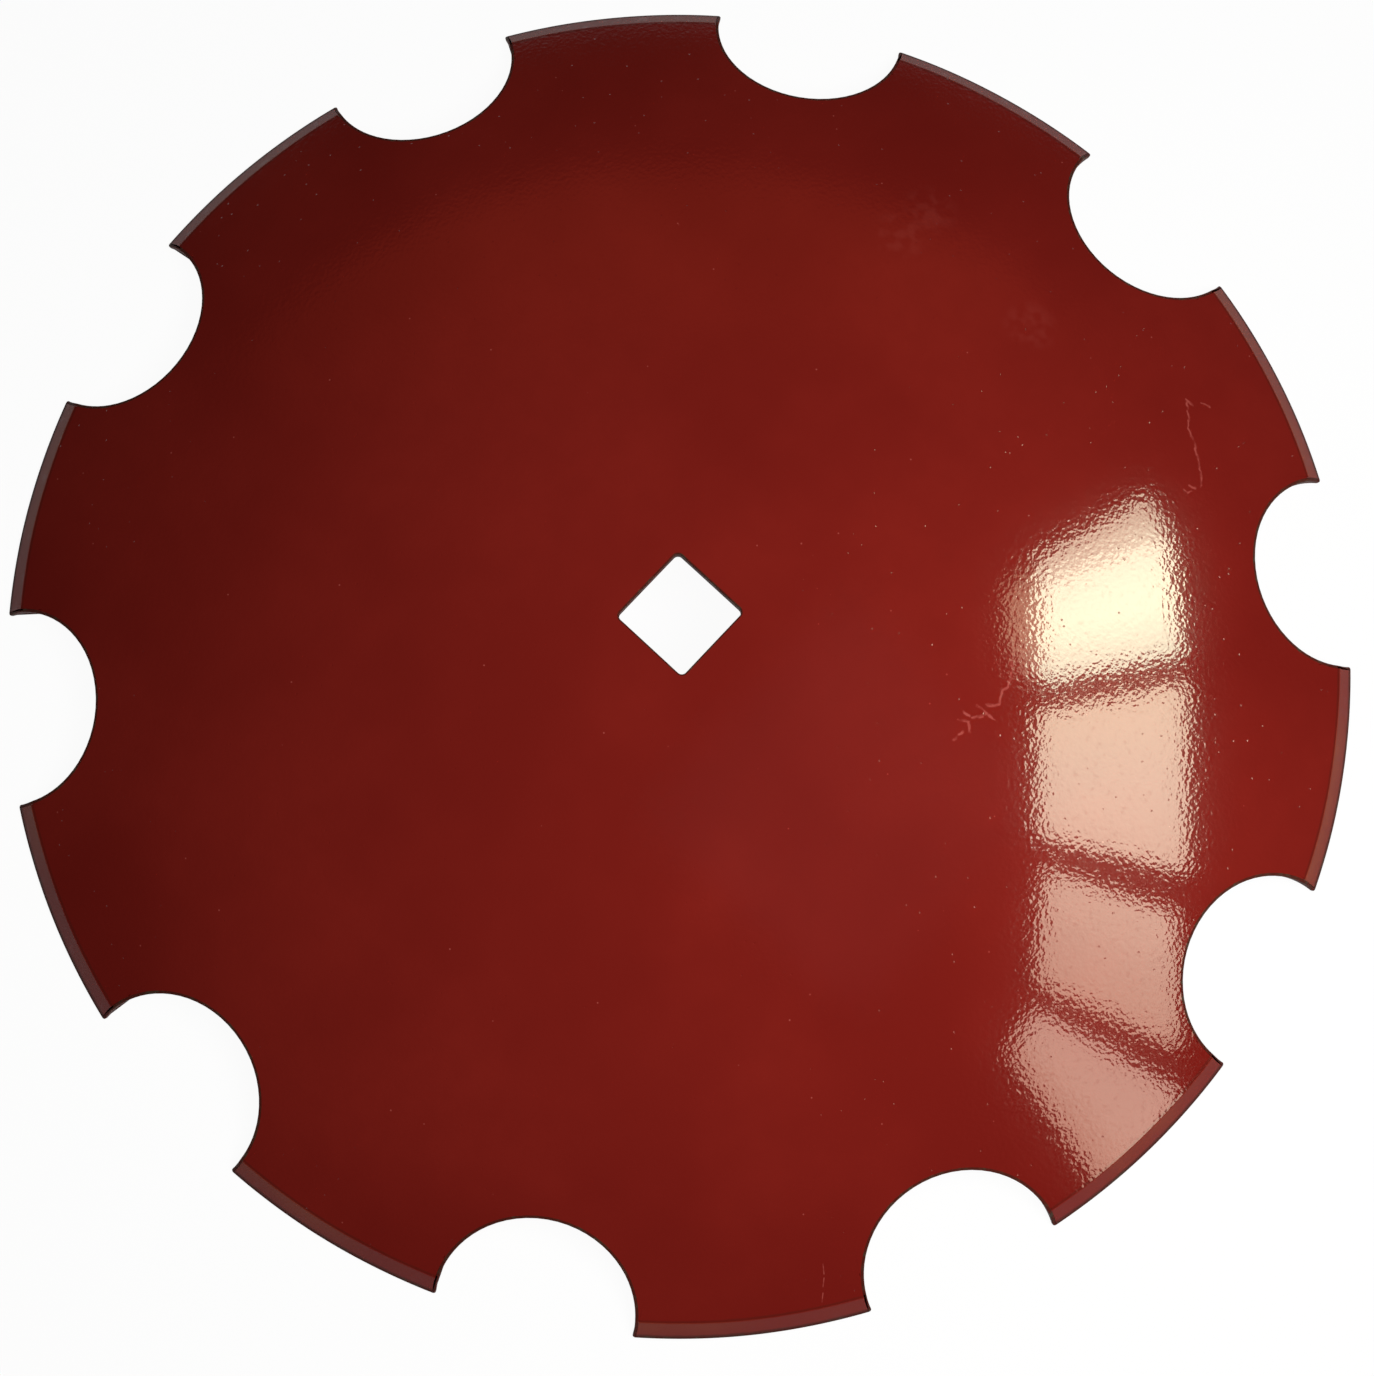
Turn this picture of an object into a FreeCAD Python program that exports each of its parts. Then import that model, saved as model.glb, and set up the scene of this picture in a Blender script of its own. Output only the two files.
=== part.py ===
import FreeCAD, Part
import math
import os

# Notched harrow disc blade, pressed from one steel plate, in millimetres and degrees.
# It lies on the tips of its lobes with the domed face up. Z is the axis of the disc,
# the sides of the square hole run along X and Y, and Z = 0 is the surface it lies on.

# Driving dimensions of the pressed disc
disc_diameter = 660.0
hollow_radius = 856.0
blade_thickness = 6.0

# Driving dimensions of the ground bevel, which is on the domed face only
bevel_width = 11.0
edge_thickness = 2.0

# Driving dimensions of the notches
notch_count = 10
notch_radius = 47.0
notch_centre_inset = 5.5
first_notch_angle = -4.9

# Driving dimensions of the square axle hole
hole_side = 41.0
hole_corner_radius = 2.5

# Driving dimensions of the broken edges, on the domed face and on the hollow one
dome_edge_break = 0.8
hollow_edge_break = 0.5

# Derived: the concentric spheres of the two faces and of the cutting edge, and where they meet the rim
dome_radius = hollow_radius + blade_thickness
edge_radius = hollow_radius + edge_thickness
rim_angle = math.asin(disc_diameter / 2 / edge_radius)

# Derived: the disc rests on the broken edge of its hollow face, which sets how high the spheres' centre is
resting_angle = rim_angle - hollow_edge_break / hollow_radius
sphere_centre_z = -hollow_radius * math.cos(resting_angle)
overall_height = sphere_centre_z + dome_radius

# Derived: the angle that the bevel spans, by the law of cosines at the spheres' centre
bevel_angle = math.acos(
    (edge_radius ** 2 + dome_radius ** 2 - bevel_width ** 2) / (2 * edge_radius * dome_radius)
)

# Derived: a punch stands out by the plate's own thickness past each face that it goes through
punch_overrun = blade_thickness

# Axes of the disc
origin = FreeCAD.Vector(0, 0, 0)
across = FreeCAD.Vector(0, 1, 0)
upward = FreeCAD.Vector(0, 0, 1)


def on_sphere(radius, angle):
    """Point in the XZ plane, at a radius from the spheres' centre and an angle from the disc's axis."""
    return FreeCAD.Vector(
        radius * math.sin(angle), 0, sphere_centre_z + radius * math.cos(angle)
    )


def pressed_disc():
    """Round dished disc with its ground rim, turned from its section."""
    hollow_top = on_sphere(hollow_radius, 0)
    hollow_middle = on_sphere(hollow_radius, rim_angle / 2)
    hollow_rim = on_sphere(hollow_radius, rim_angle)
    cutting_edge = on_sphere(edge_radius, rim_angle)
    bevel_top = on_sphere(dome_radius, rim_angle - bevel_angle)
    dome_middle = on_sphere(dome_radius, (rim_angle - bevel_angle) / 2)
    dome_top = on_sphere(dome_radius, 0)
    section = Part.Wire([
        Part.Arc(hollow_top, hollow_middle, hollow_rim).toShape(),
        Part.LineSegment(hollow_rim, cutting_edge).toShape(),
        Part.LineSegment(cutting_edge, bevel_top).toShape(),
        Part.Arc(bevel_top, dome_middle, dome_top).toShape(),
        Part.LineSegment(dome_top, hollow_top).toShape(),
    ])
    # The seam of the turned faces is hidden in the middle of the first notch
    section.rotate(origin, upward, first_notch_angle)
    return Part.Face(section).revolve(origin, upward, 360)


def notch_punch(index):
    """Round punch for one notch. It is square to the plate there, as the flat blank was punched."""
    tilt = math.asin((disc_diameter / 2 - notch_centre_inset) / dome_radius)
    punch = Part.makeCylinder(notch_radius, blade_thickness + 2 * punch_overrun)
    punch.translate(FreeCAD.Vector(0, 0, hollow_radius - punch_overrun))
    punch.rotate(origin, across, math.degrees(tilt))
    punch.translate(FreeCAD.Vector(0, 0, sphere_centre_z))
    punch.rotate(origin, upward, first_notch_angle + index * 360 / notch_count)
    return punch


def hole_punch():
    """Square punch for the axle hole, with rounded corners."""
    height = overall_height + 2 * punch_overrun
    corner = FreeCAD.Vector(-hole_side / 2, -hole_side / 2, -punch_overrun)
    punch = Part.makeBox(hole_side, hole_side, height, corner)
    upright = [
        edge for edge in punch.Edges
        if edge.BoundBox.ZLength > edge.BoundBox.XLength + edge.BoundBox.YLength
    ]
    return punch.makeFillet(hole_corner_radius, upright)


def face_on_sphere(blade, radius):
    """Face of the blade that lies on the sphere nearest to this radius."""
    found = [face for face in blade.Faces if isinstance(face.Surface, Part.Sphere)]
    return min(found, key=lambda face: abs(face.Surface.Radius - radius))


def borders(edge, face):
    """Whether an edge is one of a face's own edges."""
    return any(edge.isSame(own) for own in face.Edges)


def hollow_edges(blade):
    """Every edge of the hollow face, less the seam of its sphere."""
    hollow = face_on_sphere(blade, hollow_radius)
    return [edge for edge in hollow.Edges if not edge.isSeam(hollow)]


def dome_edges(blade):
    """Every sharp edge on the domed side: round the notches and the hole, and along the cutting edge."""
    hollow = face_on_sphere(blade, hollow_radius)
    dome = face_on_sphere(blade, dome_radius)
    found = []
    for edge in blade.Edges:
        on_dome = borders(edge, dome)
        seam = on_dome and edge.isSeam(dome)
        level = isinstance(edge.Curve, Part.Circle) and abs(edge.Curve.Axis.z) > abs(edge.Curve.Axis.x)
        ridge = on_dome and level and not seam
        hole_corner = isinstance(edge.Curve, Part.Line)
        if not (borders(edge, hollow) or seam or ridge or hole_corner):
            found.append(edge)
    return found


def disc_blade():
    """Whole blade: the pressed disc, less its notches and its hole, with the sharp edges broken."""
    blade = pressed_disc()
    for index in range(notch_count):
        blade = blade.cut(notch_punch(index))
    blade = blade.cut(hole_punch())
    blade = blade.makeChamfer(dome_edge_break, dome_edges(blade))
    return blade.makeChamfer(hollow_edge_break, hollow_edges(blade))


os.makedirs("parts", exist_ok=True)
blade = disc_blade()
blade.exportStep(os.path.join("parts", "disc_blade.step"))

print("solids", len(blade.Solids), "valid", blade.isValid(), "volume", round(blade.Volume))
print("overall height", round(overall_height, 2), "depth of the hollow", round(sphere_centre_z + hollow_radius, 2))
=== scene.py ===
import math

import bpy
import numpy as np
from bpy.props import FloatProperty, FloatVectorProperty, IntProperty, PointerProperty
from mathutils import Matrix, Vector


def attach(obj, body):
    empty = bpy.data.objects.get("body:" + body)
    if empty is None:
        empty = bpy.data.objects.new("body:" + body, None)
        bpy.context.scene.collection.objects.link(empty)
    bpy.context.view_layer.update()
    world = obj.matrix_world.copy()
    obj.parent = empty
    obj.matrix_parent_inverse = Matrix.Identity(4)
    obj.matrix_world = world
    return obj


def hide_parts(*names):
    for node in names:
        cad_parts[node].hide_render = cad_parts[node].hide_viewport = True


bl_info = {
    "name": "Notched Disc Blade",
    "version": (1, 0, 0),
    "blender": (4, 5, 0),
    "location": "View3D > Sidebar > Disc Blade",
    "description": "Makes an enamelled, notched harrow disc blade and the studio that it is shown in",
    "category": "Add Mesh",
}

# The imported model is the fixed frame. Its box is kept as it was before anything else is made.
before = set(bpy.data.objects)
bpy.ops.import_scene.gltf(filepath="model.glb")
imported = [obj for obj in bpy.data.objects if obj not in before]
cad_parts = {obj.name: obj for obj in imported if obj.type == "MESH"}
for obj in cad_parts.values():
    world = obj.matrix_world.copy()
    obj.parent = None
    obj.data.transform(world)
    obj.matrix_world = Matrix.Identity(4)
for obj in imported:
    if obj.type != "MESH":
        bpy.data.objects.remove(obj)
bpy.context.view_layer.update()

BLADE_NODE = "disc_blade"
BODY = "root"

# Size of the photograph's frame, in pixels, and the width that a lens's millimetres are counted on
PHOTO_WIDTH = 1374
PHOTO_HEIGHT = 1376
SENSOR = 36.0

# How finely the blade's mesh is divided: points along each stretch of the outline, rings across the faces and
# the walls, and how strongly the points of a notch are gathered towards its ends
NOTCH_POINTS = 44
CORNER_POINTS = 4
LOBE_POINTS = 30
DOME_INNER_RINGS = 26
DOME_OUTER_RINGS = 11
RIDGE_RINGS = 6
BEVEL_RINGS = 3
HOLLOW_INNER_RINGS = 12
HOLLOW_OUTER_RINGS = 6
ROUND_STEPS = 4
WALL_RINGS = 3
ENDS_GATHERED = 0.35

# Half the width of the softened ridge, which has the bevel's finish. Its rings spread by a share of the
# bevel's width, and where a notch cuts the bevel they stay within these shares of the way to the outline.
RIDGE_HALF = 0.0004
RIDGE_SPREAD = 0.1
RIDGE_LIMITS = (0.965, 0.97, 0.985)

# Where the rings of the faces turn from following the hole to following the notches, as a share of the
# distance from the axis to the floor of a notch, and how strongly rings are gathered towards the hole
MIDDLE_RING = 0.955
GATHERED = 1.25

# Waves round the rim of the hand-ground bevel: how many there are, how strong, and where they start
GROUND_WAVES = ((7, 1.0, 0.6), (17, 0.7, 2.1), (31, 0.5, 4.0))

# Small marks in the enamel, as pixels of the photograph: hair cracks with their branches, scratches, dulled
# spots, darker spots, and the middle of a heap of dust
CRACKS = (
    ((1186, 399), (1189, 417), (1188, 427), (1195, 445), (1199, 466), (1202, 478), (1201, 487)),
    ((1186, 399), (1193, 406)),
    ((1202, 403), (1210, 407)),
    ((1195, 488), (1189, 485)),
    ((1184, 490), (1187, 493), (1191, 491)),
    ((1011, 661), (1012, 670), (1008, 686), (1003, 690), (999, 703), (996, 706), (986, 705)),
    ((977, 706), (986, 712), (994, 719)),
    ((987, 714), (973, 718)),
    ((963, 712), (970, 716)),
    ((959, 720), (969, 722), (970, 733)),
    ((963, 732), (953, 740)),
)
SCRATCHES = (((823, 1264), (824, 1274)), ((824, 1278), (823, 1287)), ((823, 1293), (822, 1302)))
DULL_SPOTS = ((930, 210), (900, 235), (1030, 325))
DARK_SPOTS = ((650, 850), (760, 950))
DUST_HEAP = (825, 578)

# All limits from here on are the levels of a noise between which one look turns into the other.
# Widths of cracks and scratches, the size and reach of the cracks' raggedness, the size and limits of the
# gaps that break the marks up, what is left of a mark in a gap, and how strongly the marks show
CRACK_WIDTH = 0.0017
SCRATCH_WIDTH = 0.0007
CRACK_RAGGED = (0.0030, 0.0012)
GAP_SIZE = 0.003
GAP_LIMITS = (0.36, 0.58)
LEFT_IN_GAPS = 0.3
MARK_SHARE = 0.36

# The dulled spots' radius and strength, with the size and limits of their patches, and the darker spots'
# radius and strength
DULL_RADIUS = 0.017
DULL_SHARE = 0.05
PATCH_SIZE = 0.007
PATCH_LIMITS = (0.4, 0.65)
DARK_RADIUS = 0.035
DARK_SHARE = 0.5

# Grains of dust, as the distance from one to the next and their radius, everywhere and in the heap. Then the
# radius of the heap, and how strongly grains show.
DUST_GRAINS = (0.015, 0.00052)
HEAP_GRAINS = (0.0035, 0.00030)
HEAP_RADIUS = 0.016
GRAIN_SHARE = 0.36

# Pits: the distance from one to the next, the radii of a pit's floor and mouth, and its depth in ripples
PIT_SPACING = 0.0072
PIT_FLOOR = 0.0002
PIT_MOUTH = 0.0006
PIT_DEPTH = 1.3

# Clouds in the enamel's colour and the mottle over them: their sizes and limits, and how strong the mottle is
CLOUD_SIZE = 0.11
CLOUD_LIMITS = (0.32, 0.68)
MOTTLE_SIZE = 0.012
MOTTLE_LIMITS = (0.3, 0.7)
MOTTLE_SHARE = 0.22

# Orange peel: how sharp its fine ripples are, and the size and height of its broad ones beside the fine ones.
# Then the size, sharpness and limits of the smudges that dull its gloss, and how much gloss they leave.
PEEL_SHARPNESS = 0.45
BROAD_RIPPLES = 3.2
BROAD_SHARE = 0.3
SMUDGE_SIZE = 0.0024
SMUDGE_SHARPNESS = 0.6
SMUDGE_LIMITS = (0.57, 0.70)
SMUDGED_GLOSS = 0.78

# The line of painted shade inside the bevel's ridge: where it fades in, how strong it is, and its raggedness
RIDGE_SHADE_FROM = 0.0019
RIDGE_SHADE_TO = 0.0011
RIDGE_SHADE_SHARE = 0.45
RIDGE_SHADE_RAGGED = (0.004, 0.00025)

# The bevel: the size, limits and strength of its worn patches, and its roughness off them and on them. Then
# how far inside the rim its painted shade and its dark border of painted shade start and end, how strong they
# are, how ragged, and how much gloss the enamel and the border have. Last the roughness of that gloss, and
# the bevel's grain.
WORN_SIZE = 0.006
WORN_LIMITS = (0.5, 0.75)
WORN_SHARE = 0.35
BEVEL_ROUGHNESS = (0.5, 0.38)
SHADE_FROM = 0.0065
SHADE_SHARE = 0.35
BORDER_FROM = 0.0025
BORDER_TO = 0.0015
BORDER_SHARE = 0.8
BORDER_RAGGED = (0.005, 0.0003)
BEVEL_GLOSS = 0.145
BORDER_GLOSS = 0.06
BEVEL_GLOSS_ROUGHNESS = 0.16
BEVEL_GRAIN = 0.0016
BEVEL_GRAIN_DEPTH = 0.00004
BEVEL_GRAIN_STRENGTH = 0.7

# Painted shade and scale on the edges and walls: the size and limits of its olive streaks, its roughness off
# and on them, and its grain
STREAK_SIZE = 0.004
STREAK_LIMITS = (0.45, 0.75)
SCALE_ROUGHNESS = (0.62, 0.5)
SCALE_GRAIN = 0.0012
SCALE_GRAIN_DEPTH = 0.00008
SCALE_GRAIN_STRENGTH = 0.6

# How strongly the red layer and the bare finishes mirror, and the refraction of the gloss over the red
RED_MIRROR = 0.19
DULL_MIRROR = 0.08
GLOSS_IOR = 1.5

# Corners of the window's panes as they show in the enamel, as pixels of the photograph, from the upper left
# one clockwise, with the light of each pane at its upper edge, in its middle and at its lower edge. The first
# two are one pane, with a shaded band along its top. The last is the lit side of the window's opening, beside
# that pane. Each is divided into steps both ways.
PANE_STEPS = 8
PANES = (
    {"corners": ((1037, 558), (1150, 496), (1168, 538), (1038, 586)),
     "light": ((8.6, 7.4, 5.4), (9.6, 8.8, 6.4), (12.6, 12.4, 9.0))},
    {"corners": ((1038, 586), (1168, 538), (1183, 655), (1039, 684)),
     "light": ((16.5, 16.6, 12.0), (18.5, 18.8, 13.2), (12.4, 13.8, 10.2))},
    {"corners": ((1037, 712), (1187, 681), (1187, 873), (1038, 837)),
     "light": ((11.8, 10.4, 7.4), (10.7, 9.5, 7.1), (10.2, 8.4, 6.3))},
    {"corners": ((1044, 868), (1176, 913), (1180, 1050), (1037, 984)),
     "light": ((9.0, 7.4, 5.6), (7.2, 5.7, 4.3), (6.9, 4.9, 3.6))},
    {"corners": ((1036, 1008), (1180, 1091), (1130, 1230), (1009, 1055)),
     "light": ((6.9, 5.0, 3.9), (7.0, 5.1, 3.9), (5.7, 3.6, 2.6))},
    {"corners": ((1004, 592), (1037, 560), (1039, 684), (1014, 672)),
     "light": ((3.0, 1.9, 1.2), (4.8, 3.3, 2.1), (2.8, 1.7, 1.2))},
)

# What is mirrored above the horizon: the heights, in degrees, over which the pale horizon ends, the room
# grows lighter, and the lit strip of its far ceiling starts and ends, then how squarely that strip is looked
# at, and how much of the strip is left higher up
HORIZON_END = (10, 21)
ROOM_RISE = (30, 80)
STRIP_START = (33, 38)
STRIP_END = (46, 64)
STRIP_FACING = (0.55, 0.85)
STRIP_LEFT = 0.25
DIM_ROOM = (0.02, 0.015, 0.012, 1.0)
LIGHT_ROOM = (0.12, 0.034, 0.024, 1.0)
LIT_STRIP = (0.52, 0.065, 0.032, 1.0)
WHITE = (1.0, 1.0, 1.0, 1.0)
LAMP_TINT = (1.0, 0.98, 0.96)

# Sockets of a Mix node that belong to its colours
MIX_SHARE, MIX_FIRST, MIX_SECOND = 0, 6, 7
MIX_RESULT = 2

# The round floor, a hair below the blade
FLOOR_RADIUS = 7.0
FLOOR_POINTS = 96
FLOOR_DEPTH = 0.0002


def length(name, description, metres):
    """A setting that is a length."""
    return FloatProperty(
        name=name, description=description, default=metres, min=0.0, unit="LENGTH", precision=5
    )


def angle(name, description, degrees):
    """A setting that is an angle."""
    return FloatProperty(
        name=name, description=description, default=math.radians(degrees), subtype="ANGLE"
    )


def amount(name, description, value):
    """A setting that is a plain number."""
    return FloatProperty(name=name, description=description, default=value, min=0.0)


def colour(name, description, rgb):
    """A setting that is a colour."""
    return FloatVectorProperty(
        name=name, description=description, default=rgb, subtype="COLOR", min=0.0, max=1.0
    )


class BladeSizes(bpy.types.PropertyGroup):
    """The blade's own sizes"""

    diameter: length("Diameter", "Across the cutting edge of two opposite lobes", 0.660)
    hollow_radius: length("Hollow radius", "Radius of the sphere that the hollow face is pressed to", 0.856)
    thickness: length("Thickness", "Thickness of the plate", 0.006)
    bevel_width: length("Bevel width", "Width of the ground bevel along its slope", 0.011)
    edge_thickness: length("Edge thickness", "Thickness left at the cutting edge", 0.002)
    notch_count: IntProperty(name="Notches", description="How many notches the rim has", default=10, min=3)
    notch_radius: length("Notch radius", "Radius of the round punch", 0.047)
    notch_inset: length("Notch inset", "How far inside the rim the punch is centred", 0.0055)
    first_notch: angle("First notch", "Where the first notch is, round the axis", -4.9)
    hole_side: length("Hole side", "Side of the square axle hole", 0.041)
    hole_corner: length("Hole corner", "Corner radius of the square hole", 0.0025)
    lobe_corner: length("Lobe corner", "Corner radius of the lobes, seen from above", 0.0014)
    dome_round: length("Dome edge round", "How far the edges of the domed face are rounded", 0.0008)
    hollow_round: length("Hollow edge round", "How far the edges of the hollow face are rounded", 0.0005)
    # How far the dark edge finish reaches onto the domed face: painted shade of the rounded edges, with scale
    edge_shade_and_scale_band: length("Bare edge", "How far the enamel has drawn back from the rounded edges", 0.0008)
    ridge_round: length("Ridge round", "How deep grinding has softened the bevel's ridge", 0.00014)
    bevel_wave: length("Bevel wave", "How much the hand-ground bevel rises and falls round the rim", 0.00011)


class EnamelLook(bpy.types.PropertyGroup):
    """Colours and finish of the enamel"""

    red: colour("Red", "Main colour of the enamel", (0.200, 0.0120, 0.0080))
    deep_red: colour("Deep red", "The enamel where it has run thick", (0.168, 0.0090, 0.0062))
    bevel_red: colour("Bevel red", "The thin enamel over the ground bevel", (0.215, 0.0360, 0.0150))
    # The dark edge colours are painted shade of the rounded edges, the walls and the line inside the ridge,
    # with scale
    dark_edge_shade_and_scale: colour("Thin edge", "Dark scale where the enamel has drawn back", (0.065, 0.0110, 0.0070))
    olive_edge_shade_and_scale: colour("Edge scale", "Olive streaks of that scale", (0.050, 0.0360, 0.0220))
    dust: colour("Dust", "Scuffs, cracks and dried specks", (0.65, 0.155, 0.125))
    gloss: amount("Gloss roughness", "Roughness of the top of the enamel", 0.035)
    haze: amount("Haze roughness", "Roughness of the red layer under that gloss", 0.13)
    peel_size: length("Orange peel size", "From one ripple of the orange peel to the next", 0.0020)
    peel_depth: length("Orange peel depth", "Height of the orange peel's ripples", 0.000050)


class StudioLook(bpy.types.PropertyGroup):
    """Camera, light and floor"""

    camera_roll: angle("Camera roll", "How far the camera is turned about its own line of sight", 46.87)
    camera_lean: angle("Camera lean", "How far the camera looks up or down off the blade's axis", -9.30)
    camera_swing: angle("Camera swing", "How far the camera looks sideways off the blade's axis", 0.16)
    camera_distance: length("Camera distance", "From the lens to the plane that the blade rests on", 0.9995)
    aim_right: length("Aim right", "How far the blade's axis stands right of the line of sight", 0.0038)
    aim_up: length("Aim up", "How far the blade's axis stands above the line of sight", 0.0205)
    focal_pixels: amount("Focal length", "Focal length in the photograph's pixels", 2031.2)
    centre_x: amount("Centre across", "Pixel column that the lens looks straight at", 671.2)
    centre_y: amount("Centre down", "Pixel row that the lens looks straight at", 683.8)
    window_distance: length("Window distance", "From the blade to the window", 1.40)
    lamp_place: FloatVectorProperty(
        name="Lamp place", description="Middle of the soft lamp", default=(0.077, -0.324, 0.77),
        unit="LENGTH",
    )
    lamp_side: length("Lamp side", "Side of the square soft lamp", 0.5)
    lamp: amount("Lamp", "Strength of the soft lamp over the blade", 9.95)
    fill: amount("Fill", "Strength of the even light from all round", 0.05)
    floor: colour("Floor", "Plain pale floor", (0.90, 0.90, 0.90))
    floor_white: amount("Floor white", "Share of the floor's look that is plain white", 0.95)


def point_on(directions, radii, centre):
    """Points at these directions and distances from the spheres' centre."""
    return directions * np.reshape(radii, (-1, 1)) + centre


def unit(vectors):
    """Each vector made one long."""
    return vectors / np.linalg.norm(vectors, axis=-1, keepdims=True)


def off_axis(directions):
    """How far each direction leans off the disc's axis, and where it is round that axis."""
    return np.arccos(np.clip(directions[:, 2], -1, 1)), np.arctan2(directions[:, 1], directions[:, 0])


def polar(theta, phi):
    """Direction at an angle from the disc's axis and one round it, with its two tangents: away and round."""
    st, ct, sp, cp = np.sin(theta), np.cos(theta), np.sin(phi), np.cos(phi)
    zero = np.zeros_like(st + sp)
    return (
        np.stack([st * cp, st * sp, ct + zero], axis=-1),
        np.stack([ct * cp, ct * sp, -st + zero], axis=-1),
        np.stack([-sp + zero, cp + zero, zero], axis=-1),
    )


class BladeForm:
    """The blade's surfaces as formulas, about the shared centre of its spheres."""

    def __init__(self, sizes):
        self.sizes = sizes
        self.hollow = sizes.hollow_radius
        self.dome = sizes.hollow_radius + sizes.thickness
        self.edge = sizes.hollow_radius + sizes.edge_thickness
        self.rim = math.asin(sizes.diameter / 2 / self.edge)
        resting = self.rim - sizes.hollow_round / self.hollow
        self.centre = np.array([0.0, 0.0, -self.hollow * math.cos(resting)])
        span = math.acos(
            (self.edge ** 2 + self.dome ** 2 - sizes.bevel_width ** 2) / (2 * self.edge * self.dome)
        )
        ridge = self.rim - span
        rim_point = self.edge * np.array([math.sin(self.rim), math.cos(self.rim)])
        ridge_point = self.dome * np.array([math.sin(ridge), math.cos(ridge)])
        along = rim_point - ridge_point
        self.bevel_tilt = math.atan2(-along[1], along[0])
        self.bevel_reach = rim_point @ np.array([math.sin(self.bevel_tilt), math.cos(self.bevel_tilt)])
        self.notch_tilt = math.asin((sizes.diameter / 2 - sizes.notch_inset) / self.dome)
        self.lay_out_points()

    def lay_out_points(self):
        """Which stretch of the outline each point is on, its notch, and how far along the stretch it is."""
        even = np.linspace(-1, 1, NOTCH_POINTS)
        ends_denser = even * (1 + ENDS_GATHERED - ENDS_GATHERED * even ** 2)
        corner = np.linspace(0, 1, CORNER_POINTS + 2)[1:-1]
        lobe = np.linspace(0, 1, LOBE_POINTS)
        stretches = [
            ("notch", 0, 1, ends_denser), ("corner", 0, 1, corner),
            ("lobe", 0, 1, lobe), ("corner", 1, -1, corner[::-1]),
        ]
        kind, notch, side, share = [], [], [], []
        for index in range(self.sizes.notch_count):
            for name, ahead, hand, along in stretches:
                kind += [name] * len(along)
                notch += [index + ahead] * len(along)
                side += [hand] * len(along)
                share += list(along)
        self.kind = np.array(kind)
        self.notch_at = self.sizes.first_notch + np.array(notch) * 2 * math.pi / self.sizes.notch_count
        self.side = np.array(side, float)
        self.share = np.array(share, float)
        self.count = len(share)

    def bevel_plane(self, azimuth):
        """How far the bevel's slope lies from the spheres' centre, round the rim."""
        waves = sum(strong * np.sin(count * azimuth + start) for count, strong, start in GROUND_WAVES)
        return self.bevel_reach + self.sizes.bevel_wave * waves / sum(wave[1] for wave in GROUND_WAVES)

    def ridge_at(self, azimuth):
        """Angle off the axis at which the bevel starts."""
        return self.bevel_tilt - np.arccos(self.bevel_plane(azimuth) / self.dome)

    def top(self, directions):
        """How far the domed face is from the spheres' centre, and how fast that changes off the axis."""
        theta, azimuth = off_axis(directions)
        line = self.bevel_plane(azimuth) / np.cos(theta - self.bevel_tilt)
        line_slope = line * np.tan(theta - self.bevel_tilt)
        soft = self.sizes.ridge_round
        share = np.clip(0.5 + 0.5 * (line - self.dome) / soft, 0, 1)
        height = line + (self.dome - line) * share - soft * share * (1 - share)
        return height, (1 - share) * line_slope

    def outline(self, layer, inset):
        """Directions of the outline's points in one layer of the plate, and which way its wall faces."""
        layer = np.broadcast_to(layer, (self.count,)).astype(float)
        corner = self.sizes.lobe_corner / layer
        punch = np.arcsin(self.sizes.notch_radius / layer)
        inner = self.rim - corner
        half = np.arccos(
            (np.cos(punch + corner) - math.cos(self.notch_tilt) * np.cos(inner))
            / (math.sin(self.notch_tilt) * np.sin(inner))
        )
        axis, axis_away, axis_round = polar(np.full(self.count, self.notch_tilt), self.notch_at)
        pivot, pivot_away, _ = polar(inner, self.notch_at + self.side * half)

        # The round punch
        towards = unit(pivot - np.sum(pivot * axis, axis=1, keepdims=True) * axis)
        widest = np.arctan2(
            np.abs(np.sum(towards * axis_round, axis=1)), -np.sum(towards * axis_away, axis=1)
        )
        turn = (self.share * widest)[:, None]
        out_from_axis = -np.cos(turn) * axis_away + np.sin(turn) * axis_round
        opened = np.arcsin((self.sizes.notch_radius + inset) / layer)[:, None]
        points = np.cos(opened) * axis + np.sin(opened) * out_from_axis
        walls = -out_from_axis

        # The cutting edge of the lobes
        pitch = 2 * math.pi / self.sizes.notch_count
        azimuth = self.notch_at + half + self.share * (pitch - 2 * half)
        lobe, lobe_away, _ = polar(self.rim - inset / layer, azimuth)
        is_lobe = self.kind == "lobe"
        points[is_lobe], walls[is_lobe] = lobe[is_lobe], lobe_away[is_lobe]

        # The small round at the corners of the lobes
        start = unit(axis - np.sum(axis * pivot, axis=1, keepdims=True) * pivot)
        sweep = np.arccos(np.clip(np.sum(start * pivot_away, axis=1), -1, 1))[:, None]
        share = self.share[:, None]
        heading = (np.sin((1 - share) * sweep) * start + np.sin(share * sweep) * pivot_away) / np.sin(sweep)
        reach = ((self.sizes.lobe_corner - inset) / layer)[:, None]
        is_corner = self.kind == "corner"
        points[is_corner] = (np.cos(reach) * pivot + np.sin(reach) * heading)[is_corner]
        walls[is_corner] = (np.cos(reach) * heading - np.sin(reach) * pivot)[is_corner]
        return points, walls

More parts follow.
